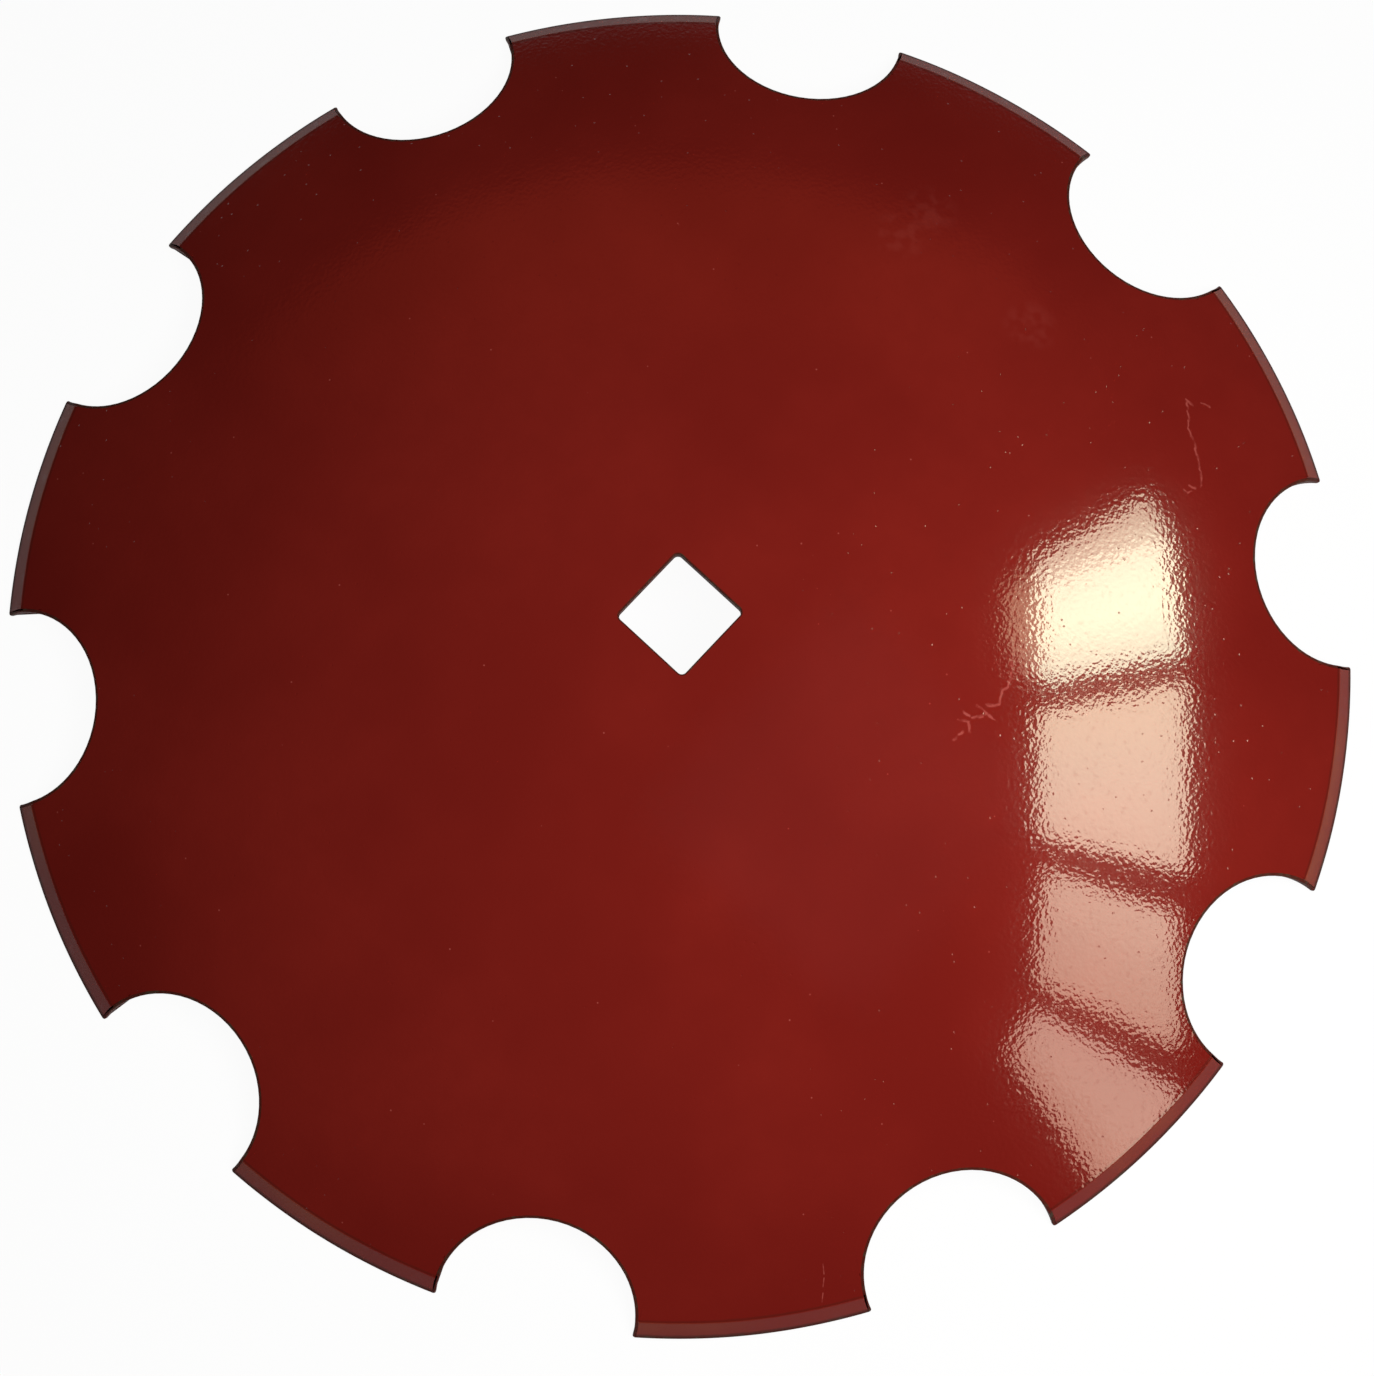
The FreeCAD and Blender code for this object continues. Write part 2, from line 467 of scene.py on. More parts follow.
    def hole(self, azimuth, layer, inset):
        """Directions of the square hole's points in one layer, and which way its wall faces there."""
        half = self.sizes.hole_side / 2 + inset
        corner = self.sizes.hole_corner + inset
        x, y = np.cos(azimuth), np.sin(azimuth)
        straight = half / np.maximum(np.abs(x), np.abs(y))
        middle = half - corner
        ahead = middle * (np.abs(x) + np.abs(y))
        rounded = ahead + np.sqrt(np.maximum(ahead ** 2 - 2 * middle ** 2 + corner ** 2, 0))
        in_corner = np.minimum(np.abs(x), np.abs(y)) * straight > middle
        radius = np.where(in_corner, rounded, straight)
        px, py = radius * x, radius * y
        along_x = np.abs(x) > np.abs(y)
        walls = np.zeros((len(azimuth), 3))
        walls[:, 0] = np.where(
            in_corner, (px - np.sign(x) * middle) / corner, np.where(along_x, np.sign(x), 0)
        )
        walls[:, 1] = np.where(
            in_corner, (py - np.sign(y) * middle) / corner, np.where(along_x, 0, np.sign(y))
        )
        points = np.stack([px, py, np.sqrt(layer ** 2 - radius ** 2)], axis=1) / layer
        return points, -unit(walls)


def on_dome(form, directions):
    """Points of the domed face at these directions, and its normals there."""
    height, slope = form.top(directions)
    _, away, _ = polar(*off_axis(directions))
    return point_on(directions, height, form.centre), unit(directions - (slope / height)[:, None] * away)


def on_hollow(form, directions):
    """Points of the hollow face at these directions, and its normals there."""
    return point_on(directions, np.full(len(directions), form.hollow), form.centre), -directions


def rounded_edge(first, corner, last, first_normals, last_normals):
    """Rings of a rounded edge, after the ring where it starts, up to the ring where it ends."""
    rings = []
    for step in range(1, ROUND_STEPS + 1):
        t = step / ROUND_STEPS
        points = (1 - t) ** 2 * first + 2 * t * (1 - t) * corner + t ** 2 * last
        rings.append((points, unit((1 - t) * first_normals + t * last_normals), "edge"))
    return rings


def spoke_azimuths(outline):
    """Where each spoke of the mesh meets the hole: half its own place on the rim, half an even share."""
    own = np.unwrap(off_axis(outline)[1])
    steps = np.linalg.norm(np.diff(np.vstack([outline, outline[:1]]), axis=0), axis=1)
    even = own[0] + np.cumsum(np.concatenate([[0.0], steps[:-1]])) / steps.sum() * 2 * math.pi
    return (own + even) / 2


def dome_rings(form, azimuth, middle, layer_top):
    """Rings of the domed face, from the hole to the outline. Some are gathered at the ridge of the bevel."""
    sizes = form.sizes
    rings = []
    edge, _ = form.hole(azimuth, form.dome, sizes.dome_round)
    rings.append((*on_dome(form, edge), "dome"))
    for index in range(1, DOME_INNER_RINGS):
        share = (index / DOME_INNER_RINGS) ** GATHERED
        rings.append((*on_dome(form, unit(edge + share * (middle - edge))), "dome"))

    outer, _ = form.outline(layer_top, sizes.dome_round + sizes.edge_shade_and_scale_band)
    theta_middle, _ = off_axis(middle)
    theta_outer, outer_azimuth = off_axis(outer)
    reach = theta_outer - theta_middle
    low_limit, ridge_limit, high_limit = RIDGE_LIMITS
    ridge = np.clip((form.ridge_at(outer_azimuth) - theta_middle) / reach, 0.0, ridge_limit)
    spread = sizes.bevel_width * RIDGE_SPREAD / form.dome / reach
    low = np.clip(ridge - spread, 0.0, low_limit)
    high = np.clip(ridge + spread, 0.0, high_limit)
    shares = [low * index / DOME_OUTER_RINGS for index in range(DOME_OUTER_RINGS)]
    shares += [low + (high - low) * index / RIDGE_RINGS for index in range(RIDGE_RINGS)]
    shares += [high + (1 - high) * index / BEVEL_RINGS for index in range(BEVEL_RINGS + 1)]
    for share in shares:
        rings.append((*on_dome(form, unit(middle + share[:, None] * (outer - middle))), "dome"))
    edge, _ = form.outline(layer_top, sizes.dome_round)
    rings.append((*on_dome(form, edge), "edge"))
    return rings


def outer_wall_rings(form, layer_top, first):
    """Rings down the outer wall, with both its edges rounded."""
    sizes = form.sizes
    corner_points, _ = form.outline(layer_top, 0.0)
    wall_top, walls = form.outline(layer_top - sizes.dome_round, 0.0)
    wall_top_ring = point_on(wall_top, layer_top - sizes.dome_round, form.centre)
    corner_ring = point_on(corner_points, layer_top, form.centre)
    rings = rounded_edge(first[0], corner_ring, wall_top_ring, first[1], walls)
    layer_low = form.hollow + sizes.hollow_round
    for step in range(1, WALL_RINGS + 1):
        share = step / WALL_RINGS
        layer = (1 - share) * (layer_top - sizes.dome_round) + share * layer_low
        points, normals = form.outline(layer, 0.0)
        rings.append((point_on(points, layer, form.centre), normals, "edge"))
    low_wall_ring, low_normals, _ = rings[-1]
    low_outline, _ = form.outline(form.hollow, 0.0)
    low_corner = point_on(low_outline, np.full(form.count, form.hollow), form.centre)
    under_ring, under_normals = on_hollow(form, form.outline(form.hollow, sizes.hollow_round)[0])
    return rings + rounded_edge(low_wall_ring, low_corner, under_ring, low_normals, under_normals)


def hollow_rings(form, azimuth, middle):
    """Rings of the hollow face, from the outline to the hole."""
    sizes = form.sizes
    rings = []
    under, _ = form.outline(form.hollow, sizes.hollow_round)
    for index in range(1, HOLLOW_OUTER_RINGS + 1):
        share = index / HOLLOW_OUTER_RINGS
        rings.append((*on_hollow(form, unit(under + share * (middle - under))), "hollow"))
    hole, _ = form.hole(azimuth, form.hollow, sizes.hollow_round)
    for index in range(1, HOLLOW_INNER_RINGS + 1):
        share = 1 - (1 - index / HOLLOW_INNER_RINGS) ** GATHERED
        rings.append((*on_hollow(form, unit(middle + share * (hole - middle))), "hollow"))
    return rings


def hole_wall_rings(form, azimuth, first, last):
    """Rings up the hole's wall, from the hollow face to the domed one, with both its edges rounded."""
    sizes = form.sizes
    low_layer = np.full(form.count, form.hollow)
    top_layer = np.full(form.count, form.dome)
    corner_points, walls = form.hole(azimuth, form.hollow, 0.0)
    corner_ring = point_on(corner_points, low_layer, form.centre)
    wall_low, _ = form.hole(azimuth, form.hollow + sizes.hollow_round, 0.0)
    wall_low_ring = point_on(wall_low, low_layer + sizes.hollow_round, form.centre)
    rings = rounded_edge(first[0], corner_ring, wall_low_ring, first[1], walls)
    wall_top, walls = form.hole(azimuth, form.dome - sizes.dome_round, 0.0)
    wall_top_ring = point_on(wall_top, top_layer - sizes.dome_round, form.centre)
    rings.append(((wall_low_ring + wall_top_ring) / 2, walls, "edge"))
    rings.append((wall_top_ring, walls, "edge"))
    corner_ring = point_on(form.hole(azimuth, form.dome, 0.0)[0], top_layer, form.centre)
    return rings + rounded_edge(wall_top_ring, corner_ring, last[0], walls, last[1])[:-1]


def blade_rings(form):
    """Every ring of the blade's mesh, once round its section, each with its points, normals and kind."""
    rim_directions, _ = form.outline(form.dome, 0.0)
    layer_top = form.top(rim_directions)[0]
    azimuth = spoke_azimuths(form.outline(form.dome, form.sizes.dome_round)[0])
    notch_floor = form.sizes.diameter / 2 - form.sizes.notch_inset - form.sizes.notch_radius
    middle_angle = math.asin(MIDDLE_RING * notch_floor / form.dome)
    middle, _, _ = polar(np.full(form.count, middle_angle), azimuth)
    rings = dome_rings(form, azimuth, middle, layer_top)
    rings += outer_wall_rings(form, layer_top, rings[-1])
    rings += hollow_rings(form, azimuth, middle)
    rings += hole_wall_rings(form, azimuth, rings[-1], rings[0])
    return rings


def blade_mesh(form, finishes):
    """One closed mesh from the rings, with each point's true normal and each face's finish."""
    rings = blade_rings(form)
    points = np.array([ring[0] for ring in rings])
    normals = np.array([ring[1] for ring in rings])
    levels, around = points.shape[:2]
    index = np.arange(levels * around).reshape(levels, around)
    above = np.roll(index, -1, axis=0)
    quads = np.stack([index, above, np.roll(above, -1, axis=1), np.roll(index, -1, axis=1)], axis=-1)
    quads = quads.reshape(-1, 4)
    mesh = bpy.data.meshes.new("enamelled_blade")
    mesh.from_pydata(points.reshape(-1, 3).tolist(), [], quads.tolist())

    kinds = np.array([ring[2] for ring in rings])
    # The rounded edges and walls get the dark edge finish: painted shade, with scale
    worn = (kinds == "edge") | (np.roll(kinds, -1) == "edge")
    theta, azimuth = off_axis(unit(points.reshape(-1, 3)[quads].mean(axis=1) - form.centre))
    past_ridge = theta > form.ridge_at(azimuth) - RIDGE_HALF / form.dome
    ground = past_ridge & np.repeat(kinds == "dome", around)
    slots = np.where(np.repeat(worn, around), 1, np.where(ground, 2, 0))
    for finish in finishes:
        mesh.materials.append(finish)
    mesh.polygons.foreach_set("material_index", slots)
    mesh.polygons.foreach_set("use_smooth", [True] * len(slots))
    mesh.normals_split_custom_set_from_vertices(normals.reshape(-1, 3).tolist())
    mesh.update()
    return mesh


class Viewpoint:
    """Where the photograph's camera stands, and the line of sight of any of its pixels."""

    def __init__(self, studio):
        turn = (
            Matrix.Rotation(studio.camera_swing, 3, "Y")
            @ Matrix.Rotation(studio.camera_lean, 3, "X")
            @ Matrix.Rotation(studio.camera_roll, 3, "Z")
        )
        self.axes = turn.transposed()
        offset = Vector((studio.aim_right, studio.aim_up, 0.0))
        self.eye = self.axes @ (Vector((0.0, 0.0, studio.camera_distance)) - offset)
        self.studio = studio

    def sight(self, pixel):
        """Direction in which a pixel of the photograph looks."""
        across = (pixel[0] - self.studio.centre_x) / self.studio.focal_pixels
        down = (pixel[1] - self.studio.centre_y) / self.studio.focal_pixels
        return (self.axes @ Vector((across, -down, -1.0))).normalized()

    def meets(self, pixel, form):
        """Where a pixel's line of sight meets the dome."""
        line = self.sight(pixel)
        start = self.eye - Vector(form.centre)
        ahead = -start.dot(line)
        return self.eye + line * (ahead - math.sqrt(ahead ** 2 - start.length_squared + form.dome ** 2))

    def mirrored(self, pixel, form):
        """Where a pixel's line of sight meets the dome, and which way it goes on from there."""
        met = self.meets(pixel, form)
        return met, self.sight(pixel).reflect((met - Vector(form.centre)).normalized())


class Graph:
    """Short hand for building a material's or a world's nodes."""

    def __init__(self, tree):
        self.tree = tree
        tree.nodes.clear()

    def node(self, kind, inputs=None, **settings):
        """A new node with these settings, and with its inputs fed."""
        made = self.tree.nodes.new(kind)
        for name, value in settings.items():
            setattr(made, name, value)
        for name, value in (inputs or {}).items():
            self.feed(made.inputs[name], value)
        return made

    def feed(self, socket, value):
        """Link a socket to another one, or set its value."""
        if isinstance(value, bpy.types.NodeSocket):
            self.tree.links.new(value, socket)
        else:
            socket.default_value = value

    def maths(self, operation, first, second=0.0, clamp=False):
        """Sum of two numbers, or any other operation on them."""
        made = self.node("ShaderNodeMath", operation=operation, use_clamp=clamp)
        self.feed(made.inputs[0], first)
        self.feed(made.inputs[1], second)
        return made.outputs[0]

    def vector(self, operation, first, second, result="Vector"):
        """The same for two vectors."""
        made = self.node("ShaderNodeVectorMath", operation=operation, inputs={0: first, 1: second})
        return made.outputs[result]

    def scaled(self, vector, factor):
        """A vector made longer or shorter by this factor."""
        made = self.node("ShaderNodeVectorMath", operation="SCALE", inputs={0: vector, "Scale": factor})
        return made.outputs["Vector"]

    def ramp(self, value, low, high, start=0.0, end=1.0):
        """A soft change from one value to another, while the first one goes from low to high."""
        made = self.node("ShaderNodeMapRange", interpolation_type="SMOOTHSTEP", inputs={
            "Value": value, "From Min": low, "From Max": high, "To Min": start, "To Max": end,
        })
        return made.outputs["Result"]

    def noise(self, place, size, detail=2.0, roughness=0.5):
        """Noise with blotches of this size."""
        made = self.node("ShaderNodeTexNoise", inputs={
            "Vector": place, "Scale": 1 / size, "Detail": detail, "Roughness": roughness,
        })
        return made.outputs["Fac"]

    def mix(self, share, first, second):
        """One colour with a share of another. The node has other sockets too, for numbers and vectors."""
        made = self.node("ShaderNodeMix", data_type="RGBA", inputs={
            MIX_SHARE: share, MIX_FIRST: first, MIX_SECOND: second,
        })
        return made.outputs[MIX_RESULT]

    def dots(self, place, spacing, inner, outer):
        """One in dots that lie about this far apart, falling to zero between these radii."""
        cells = self.node("ShaderNodeTexVoronoi", inputs={"Vector": place, "Scale": 1 / spacing})
        gap = self.maths("MULTIPLY", cells.outputs["Distance"], spacing)
        return self.ramp(gap, inner, outer, 1.0, 0.0)

    def strongest(self, first, *others):
        """The largest of these."""
        for other in others:
            first = self.maths("MAXIMUM", first, other)
        return first

    def nearest(self, first, *others):
        """The smallest of these."""
        for other in others:
            first = self.maths("MINIMUM", first, other)
        return first

    def relief(self, height, depth, strength=1.0):
        """The normal of a surface with this relief."""
        bump = self.node("ShaderNodeBump", inputs={"Strength": strength, "Distance": depth, "Height": height})
        return bump.outputs["Normal"]

    def ragged(self, place, size, reach):
        """The place shifted to and fro by up to this reach, so that what is drawn there is ragged."""
        noise = self.node("ShaderNodeTexNoise", inputs={"Vector": place, "Scale": 1 / size, "Detail": 1.0})
        shift = self.vector("SUBTRACT", noise.outputs["Color"], (0.5, 0.5, 0.5))
        return self.vector("ADD", place, self.scaled(shift, 2 * reach))

    def from_axis(self, place, size, reach):
        """How far a place is from the blade's axis, shifted to and fro by up to this reach."""
        level = self.vector("MULTIPLY", place, (1.0, 1.0, 0.0))
        distance = self.vector("LENGTH", level, (0.0, 0.0, 0.0), "Value")
        shift = self.maths("SUBTRACT", self.noise(place, size, detail=1.0), 0.5)
        return self.maths("ADD", distance, self.maths("MULTIPLY", shift, 2 * reach))

    def near_lines(self, place, lines, width):
        """One on these lines, falling to zero at half their width."""
        gaps = []
        for points in lines:
            for start, end in zip(points, points[1:]):
                along = end - start
                offset = self.vector("SUBTRACT", place, start)
                share = self.vector("DOT_PRODUCT", offset, along / along.length_squared, "Value")
                reached = self.scaled(along, self.maths("ADD", share, 0.0, clamp=True))
                gaps.append(self.vector("DISTANCE", offset, reached, "Value"))
        return self.ramp(self.nearest(*gaps), width / 6, width / 2, 1.0, 0.0)

    def near_points(self, place, points, radius):
        """One at these points, falling to zero at the radius."""
        gaps = [self.vector("DISTANCE", place, point, "Value") for point in points]
        return self.ramp(self.nearest(*gaps), radius / 3, radius, 1.0, 0.0)

    def shader(self, **inputs):
        """The material's one shader, wired to its output."""
        made = self.node("ShaderNodeBsdfPrincipled", inputs={
            name.replace("_", " "): value for name, value in inputs.items()
        })
        out = self.node("ShaderNodeOutputMaterial")
        self.feed(out.inputs["Surface"], made.outputs["BSDF"])


def new_graph(name):
    """A new material, and the graph of its nodes."""
    material = bpy.data.materials.new(name)
    material.use_nodes = True
    return material, Graph(material.node_tree)


def rgba(rgb):
    """A colour with its alpha."""
    return (rgb[0], rgb[1], rgb[2], 1.0)


def dust_specks(graph, place, heap_middle):
    """Grains of dust that dried into the enamel: a few everywhere, and more in one heap."""
    everywhere, in_heap = (
        graph.dots(place, spacing, radius / 2, radius) for spacing, radius in (DUST_GRAINS, HEAP_GRAINS)
    )
    heap = graph.near_points(place, [heap_middle], HEAP_RADIUS)
    return graph.strongest(everywhere, graph.maths("MULTIPLY", in_heap, heap))


def hair_marks(graph, place, on_blade):
    """Hair cracks with their branches, and a few scratches."""
    ragged = graph.ragged(place, *CRACK_RAGGED)
    cracks = graph.near_lines(ragged, [on_blade(crack) for crack in CRACKS], CRACK_WIDTH)
    scratches = graph.near_lines(place, [on_blade(scratch) for scratch in SCRATCHES], SCRATCH_WIDTH)
    broken = graph.ramp(graph.noise(place, GAP_SIZE, detail=1.0), *GAP_LIMITS, LEFT_IN_GAPS, 1.0)
    return graph.maths("MULTIPLY", graph.strongest(cracks, scratches), broken)


def orange_peel(graph, place, look):
    """Fine ripples of sprayed enamel, with its pits, as a normal."""
    fine = graph.noise(place, look.peel_size, detail=1.0, roughness=PEEL_SHARPNESS)
    broad = graph.noise(place, look.peel_size * BROAD_RIPPLES, detail=0.0)
    height = graph.maths("ADD", fine, graph.maths("MULTIPLY", broad, BROAD_SHARE))
    pits = graph.dots(place, PIT_SPACING, PIT_FLOOR, PIT_MOUTH)
    height = graph.maths("SUBTRACT", height, graph.maths("MULTIPLY", pits, PIT_DEPTH))
    return graph.relief(height, look.peel_depth)


def cloudy(graph, place, look, main):
    """The enamel's colour, with broad clouds and a fine mottle where it has run thick."""
    clouds = graph.ramp(graph.noise(place, CLOUD_SIZE, detail=3.0), *CLOUD_LIMITS)
    tint = graph.mix(clouds, rgba(look.deep_red), rgba(main))
    mottle = graph.ramp(graph.noise(place, MOTTLE_SIZE), *MOTTLE_LIMITS, 0.0, MOTTLE_SHARE)
    return graph.mix(mottle, tint, rgba(look.deep_red))


def ridge_shade_line(graph, place, form):
    """A thin line of painted shade on the domed face, inside the ridge of the bevel."""
    ridge = form.dome * math.sin(float(form.ridge_at(0.0)))
    from_axis = graph.from_axis(place, *RIDGE_SHADE_RAGGED)
    line_shade = graph.ramp(from_axis, ridge - RIDGE_SHADE_FROM, ridge - RIDGE_SHADE_TO, 0.0, RIDGE_SHADE_SHARE)
    above = graph.node("ShaderNodeSeparateXYZ", inputs={0: place}).outputs["Z"]
    domed = graph.ramp(above, form.sizes.edge_thickness, form.sizes.edge_thickness * 2)
    return graph.maths("MULTIPLY", line_shade, domed)


def enamel_finish(look, form, viewpoint):
    """Deep red gloss enamel with orange peel, faint clouds, hair cracks, dust and a few dulled spots."""
    material, graph = new_graph("deep_red_enamel")
    place = graph.node("ShaderNodeTexCoord").outputs["Object"]

    def on_blade(pixels):
        return [viewpoint.meets(pixel, form) for pixel in pixels]

    tint = cloudy(graph, place, look, look.red)
    dark = graph.near_points(place, on_blade(DARK_SPOTS), DARK_RADIUS)
    tint = graph.mix(graph.maths("MULTIPLY", dark, DARK_SHARE), tint, rgba(look.deep_red))
    # Painted shade: a thin dark line just inside the bevel's ridge
    tint = graph.mix(ridge_shade_line(graph, place, form), tint, rgba(look.dark_edge_shade_and_scale))

    grains = dust_specks(graph, place, viewpoint.meets(DUST_HEAP, form))
    marks = hair_marks(graph, place, on_blade)
    patchy = graph.ramp(graph.noise(place, PATCH_SIZE, detail=1.0), *PATCH_LIMITS)
    dull = graph.maths("MULTIPLY", graph.near_points(place, on_blade(DULL_SPOTS), DULL_RADIUS), patchy)
    pale = graph.strongest(
        graph.maths("MULTIPLY", grains, GRAIN_SHARE),
        graph.maths("MULTIPLY", marks, MARK_SHARE),
        graph.maths("MULTIPLY", dull, DULL_SHARE),
    )
    tint = graph.mix(pale, tint, rgba(look.dust))
    normal = orange_peel(graph, place, look)
    smudges = graph.noise(place, SMUDGE_SIZE, detail=2.0, roughness=SMUDGE_SHARPNESS)
    graph.shader(
        Base_Color=tint, Roughness=look.haze, Normal=normal, Specular_IOR_Level=RED_MIRROR,
        Coat_Weight=graph.ramp(smudges, *SMUDGE_LIMITS, 1.0, SMUDGED_GLOSS),
        Coat_Roughness=look.gloss, Coat_IOR=GLOSS_IOR, Coat_Normal=normal,
    )
    return material


def bevel_finish(look, form):
    """Thinner, duller enamel over the ground bevel, with painted shade towards the rim and at the cutting
    edge.
    """
    material, graph = new_graph("ground_bevel_enamel")
    place = graph.node("ShaderNodeTexCoord").outputs["Object"]
    tint = cloudy(graph, place, look, look.bevel_red)
    worn = graph.ramp(graph.noise(place, WORN_SIZE, detail=3.0), *WORN_LIMITS, 0.0, WORN_SHARE)
    tint = graph.mix(worn, tint, rgba(look.deep_red))

    from_axis = graph.from_axis(place, *BORDER_RAGGED)
    rim = form.sizes.diameter / 2
    border_start, border_end = rim - BORDER_FROM, rim - BORDER_TO
    # Painted shade: the bevel grows darker towards the rim, and a dark border of painted shade runs along the
    # cutting edge
    shade = graph.ramp(from_axis, rim - SHADE_FROM, border_start, 0.0, SHADE_SHARE)
    tint = graph.mix(shade, tint, rgba(look.deep_red))
    border = graph.ramp(from_axis, border_start, border_end, 0.0, BORDER_SHARE)
    tint = graph.mix(border, tint, rgba(look.dark_edge_shade_and_scale))
    normal = graph.relief(graph.noise(place, BEVEL_GRAIN), BEVEL_GRAIN_DEPTH, BEVEL_GRAIN_STRENGTH)
    graph.shader(
        Base_Color=tint, Roughness=graph.ramp(worn, 0.0, WORN_SHARE, *BEVEL_ROUGHNESS), Normal=normal,
        Specular_IOR_Level=DULL_MIRROR,
        Coat_Weight=graph.ramp(from_axis, border_start, border_end, BEVEL_GLOSS, BORDER_GLOSS),
        Coat_Roughness=BEVEL_GLOSS_ROUGHNESS, Coat_IOR=GLOSS_IOR, Coat_Normal=normal,
    )
    return material


def edge_finish(look):
    """Dark, dull edges and sheared walls: painted shade of the rounded edges, with olive streaks and scale.
    """
    material, graph = new_graph("edge_shade_and_scale_enamel")
    place = graph.node("ShaderNodeTexCoord").outputs["Object"]
    streaks = graph.ramp(graph.noise(place, STREAK_SIZE, detail=3.0), *STREAK_LIMITS)
    graph.shader(
        Base_Color=graph.mix(streaks, rgba(look.dark_edge_shade_and_scale), rgba(look.olive_edge_shade_and_scale)),
        Roughness=graph.ramp(streaks, 0.0, 1.0, *SCALE_ROUGHNESS),
        Normal=graph.relief(graph.noise(place, SCALE_GRAIN), SCALE_GRAIN_DEPTH, SCALE_GRAIN_STRENGTH),
        Specular_IOR_Level=DULL_MIRROR,
    )
    return material


class BLADE_OT_add_blade(bpy.types.Operator):
    """Make the enamelled blade, in place of the plain one"""

    bl_idname = "disc_blade.add_blade"
    bl_label = "Add Enamelled Blade"

    def execute(self, context):
        sizes = context.scene.blade_sizes
        look = context.scene.enamel_look
        form = BladeForm(sizes)
        viewpoint = Viewpoint(context.scene.studio_look)
        finishes = [enamel_finish(look, form, viewpoint), edge_finish(look), bevel_finish(look, form)]
        mesh = blade_mesh(form, finishes)
        blade = bpy.data.objects.new("enamelled_blade", mesh)
        context.scene.collection.objects.link(blade)
        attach(blade, BODY)
        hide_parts(BLADE_NODE)
        return {"FINISHED"}


def pane_light(levels, down):
    """Light of a pane at a share of the way from its upper edge to its lower one."""
    upper, middle, lower = (Vector(level) for level in levels)
    if down < 0.5:
        return upper.lerp(middle, 2 * down)
    return middle.lerp(lower, 2 * down - 1)


def window_finish():
    """The light that each point of the panes carries."""
    material, graph = new_graph("window_light")
    carried = graph.node("ShaderNodeAttribute", attribute_name="pane_light").outputs["Color"]
    shader = graph.node("ShaderNodeEmission", inputs={"Color": carried, "Strength": 1.0})
    out = graph.node("ShaderNodeOutputMaterial")
    graph.feed(out.inputs["Surface"], shader.outputs["Emission"])
    # The panes are met only by mirror rays, so they aren't sampled as lamps
    material.cycles.emission_sampling = "NONE"
    return material


def add_window(context, viewpoint, form, distance):
    """The window's panes, each where its mirror image shows in the enamel. They are seen only there."""
    steps = [index / PANE_STEPS for index in range(PANE_STEPS + 1)]
    row = len(steps)
    rays, lights, faces = [], [], []
    for pane in PANES:
        first = len(rays)
        upper_left, upper_right, lower_right, lower_left = map(Vector, pane["corners"])
        for down in steps:
            for across in steps:
                upper = upper_left.lerp(upper_right, across)
                lower = lower_left.lerp(lower_right, across)
                rays.append(viewpoint.mirrored(upper.lerp(lower, down), form))
                lights.append(pane_light(pane["light"], down))
        for down in range(PANE_STEPS):
            for across in range(PANE_STEPS):
                corner = first + down * row + across
                faces.append((corner, corner + 1, corner + row + 1, corner + row))
    facing = sum((ray[1] for ray in rays), Vector()).normalized()
    points = [met + line * ((distance - met.dot(facing)) / line.dot(facing)) for met, line in rays]
    mesh = bpy.data.meshes.new("window_panes")
    mesh.from_pydata(points, [], faces)
    carried = mesh.attributes.new("pane_light", "FLOAT_COLOR", "POINT")
    carried.data.foreach_set("color", [value for light in lights for value in (*light, 1.0)])
    mesh.materials.append(window_finish())
    window = bpy.data.objects.new("window_panes", mesh)
    context.scene.collection.objects.link(window)
    window.visible_camera = False
    window.visible_diffuse = False
    window.visible_shadow = False


def seen_directly(graph):
    """One for what is seen straight, in a mirror or through glass, and zero for what only sheds light."""
    path = graph.node("ShaderNodeLightPath")
    kinds = ("Camera", "Glossy", "Transmission")
    return graph.strongest(*[path.outputs[f"Is {kind} Ray"] for kind in kinds])


def add_floor(context, studio):
    """Plain pale floor."""
    turns = [2 * math.pi * index / FLOOR_POINTS for index in range(FLOOR_POINTS)]
    mesh = bpy.data.meshes.new("floor")
    mesh.from_pydata(
        [(FLOOR_RADIUS * math.cos(turn), FLOOR_RADIUS * math.sin(turn), -FLOOR_DEPTH) for turn in turns],
        [], [tuple(range(FLOOR_POINTS))],
    )
    material, graph = new_graph("pale_floor")
    share = graph.maths("MULTIPLY", seen_directly(graph), studio.floor_white)
    painted = graph.node("ShaderNodeBsdfDiffuse", inputs={"Color": rgba(studio.floor)})
    white = graph.node("ShaderNodeEmission", inputs={"Color": WHITE, "Strength": 1.0})
    mixed = graph.node("ShaderNodeMixShader", inputs={0: share, 1: painted.outputs[0], 2: white.outputs[0]})
    out = graph.node("ShaderNodeOutputMaterial")
    graph.feed(out.inputs["Surface"], mixed.outputs[0])
    # Its white is met only by camera and mirror rays, so it isn't sampled as a lamp
    material.cycles.emission_sampling = "NONE"
    mesh.materials.append(material)
    floor = bpy.data.objects.new("floor", mesh)
    context.scene.collection.objects.link(floor)


def add_lamp(context, studio):
    """Square soft lamp over the blade. It stands near, so that its light falls off across the dome."""
    data = bpy.data.lights.new("soft_lamp", "AREA")
    data.size = studio.lamp_side
    data.energy = studio.lamp * math.pi * studio.lamp_side ** 2
    data.color = LAMP_TINT
    lamp = bpy.data.objects.new("soft_lamp", data)
    lamp.location = studio.lamp_place
    lamp.visible_camera = False
    lamp.visible_glossy = False
    context.scene.collection.objects.link(lamp)


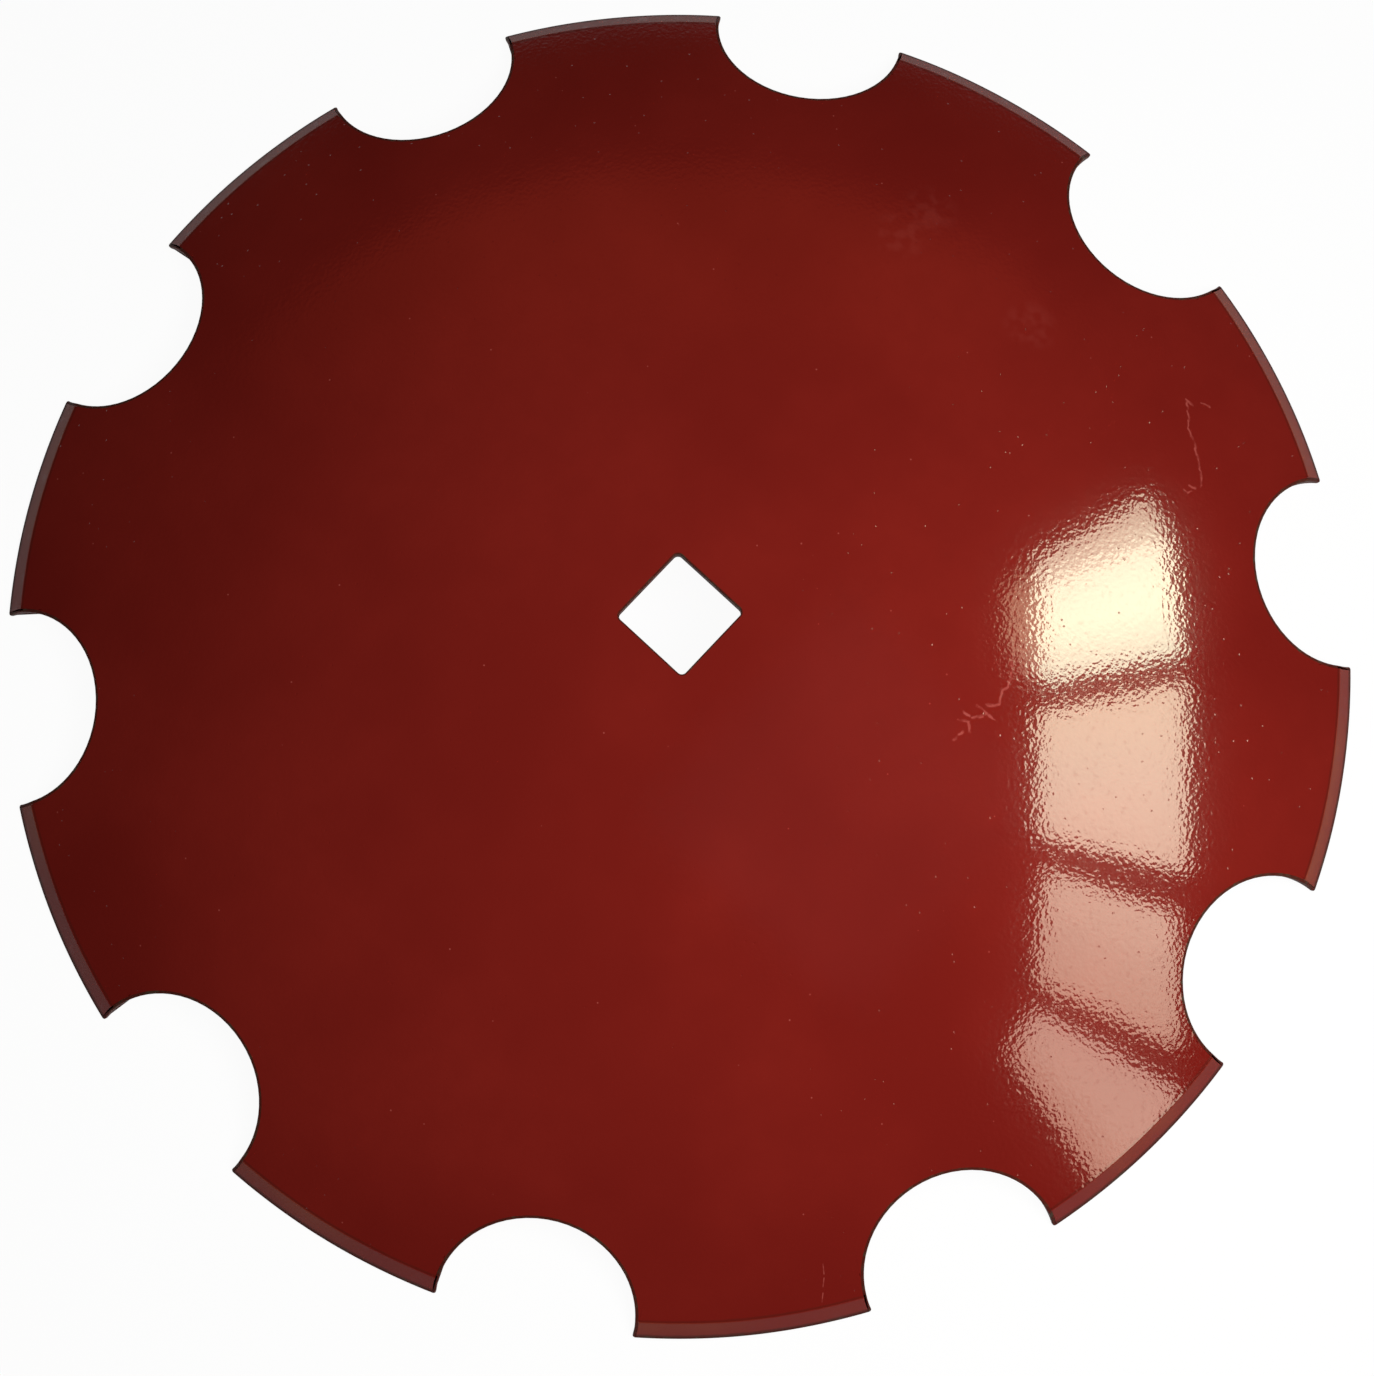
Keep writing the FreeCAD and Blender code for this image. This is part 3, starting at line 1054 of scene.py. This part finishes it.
def add_world(context, studio, viewpoint):
    """Even light from all round. The backdrop is white, and the enamel mirrors a dim brown room over it."""
    world = bpy.data.worlds.new("room")
    world.use_nodes = True
    context.scene.world = world
    graph = Graph(world.node_tree)
    direction = graph.node("ShaderNodeTexCoord").outputs["Generated"]
    height = graph.node("ShaderNodeSeparateXYZ", inputs={0: direction}).outputs["Z"]

    def rising(degrees, start=0.0, end=1.0):
        low, high = (math.sin(math.radians(limit)) for limit in degrees)
        return graph.ramp(height, low, high, start, end)

    up = viewpoint.axes @ Vector((0.0, 1.0, 0.0))
    facing = graph.ramp(graph.vector("DOT_PRODUCT", direction, up, "Value"), *STRIP_FACING)
    strip = graph.maths("MULTIPLY", rising(STRIP_START), rising(STRIP_END, 1.0, STRIP_LEFT))
    room = graph.mix(rising(ROOM_RISE), DIM_ROOM, LIGHT_ROOM)
    room = graph.mix(graph.maths("MULTIPLY", strip, facing), room, LIT_STRIP)
    mirrored = graph.mix(rising(HORIZON_END), WHITE, room)
    camera = graph.node("ShaderNodeLightPath").outputs["Is Camera Ray"]
    backdrop = graph.node("ShaderNodeBackground", inputs={
        "Color": graph.mix(camera, mirrored, WHITE), "Strength": 1.0,
    })
    light = graph.node("ShaderNodeBackground", inputs={
        "Color": rgba(LAMP_TINT), "Strength": studio.fill,
    })
    mixed = graph.node("ShaderNodeMixShader", inputs={
        0: seen_directly(graph), 1: light.outputs[0], 2: backdrop.outputs[0],
    })
    out = graph.node("ShaderNodeOutputWorld")
    graph.feed(out.inputs["Surface"], mixed.outputs[0])


def add_camera(context, viewpoint, studio):
    """Camera at the photograph's angle and framing."""
    data = bpy.data.cameras.new("camera")
    longer_side = max(PHOTO_WIDTH, PHOTO_HEIGHT)
    data.sensor_width = SENSOR
    data.lens = studio.focal_pixels * SENSOR / longer_side
    data.shift_x = (PHOTO_WIDTH / 2 - studio.centre_x) / longer_side
    data.shift_y = (studio.centre_y - PHOTO_HEIGHT / 2) / longer_side
    camera = bpy.data.objects.new("camera", data)
    camera.matrix_world = Matrix.Translation(viewpoint.eye) @ viewpoint.axes.to_4x4()
    context.scene.collection.objects.link(camera)
    context.scene.camera = camera


class BLADE_OT_add_studio(bpy.types.Operator):
    """Make the floor, the light and the camera"""

    bl_idname = "disc_blade.add_studio"
    bl_label = "Add Studio"

    def execute(self, context):
        studio = context.scene.studio_look
        form = BladeForm(context.scene.blade_sizes)
        viewpoint = Viewpoint(studio)
        add_floor(context, studio)
        add_world(context, studio, viewpoint)
        add_lamp(context, studio)
        add_window(context, viewpoint, form, studio.window_distance)
        add_camera(context, viewpoint, studio)
        context.scene.view_settings.view_transform = "Standard"
        return {"FINISHED"}


class BLADE_PT_sidebar(bpy.types.Panel):
    """Sizes, finish and studio of the disc blade"""

    bl_label = "Disc Blade"
    bl_idname = "BLADE_PT_sidebar"
    bl_space_type = "VIEW_3D"
    bl_region_type = "UI"
    bl_category = "Disc Blade"

    def draw(self, context):
        scene = context.scene
        for group in (scene.blade_sizes, scene.enamel_look, scene.studio_look):
            column = self.layout.box().column()
            for name in group.__annotations__:
                column.prop(group, name)
        self.layout.operator(BLADE_OT_add_blade.bl_idname)
        self.layout.operator(BLADE_OT_add_studio.bl_idname)


CLASSES = (
    BladeSizes, EnamelLook, StudioLook,
    BLADE_OT_add_blade, BLADE_OT_add_studio, BLADE_PT_sidebar,
)


def register():
    for item in CLASSES:
        bpy.utils.register_class(item)
    bpy.types.Scene.blade_sizes = PointerProperty(type=BladeSizes)
    bpy.types.Scene.enamel_look = PointerProperty(type=EnamelLook)
    bpy.types.Scene.studio_look = PointerProperty(type=StudioLook)


def unregister():
    del bpy.types.Scene.studio_look
    del bpy.types.Scene.enamel_look
    del bpy.types.Scene.blade_sizes
    for item in reversed(CLASSES):
        bpy.utils.unregister_class(item)


def main():
    """Make the blade and the studio."""
    register()
    bpy.ops.disc_blade.add_blade()
    bpy.ops.disc_blade.add_studio()
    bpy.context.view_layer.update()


if __name__ == "__main__":
    main()
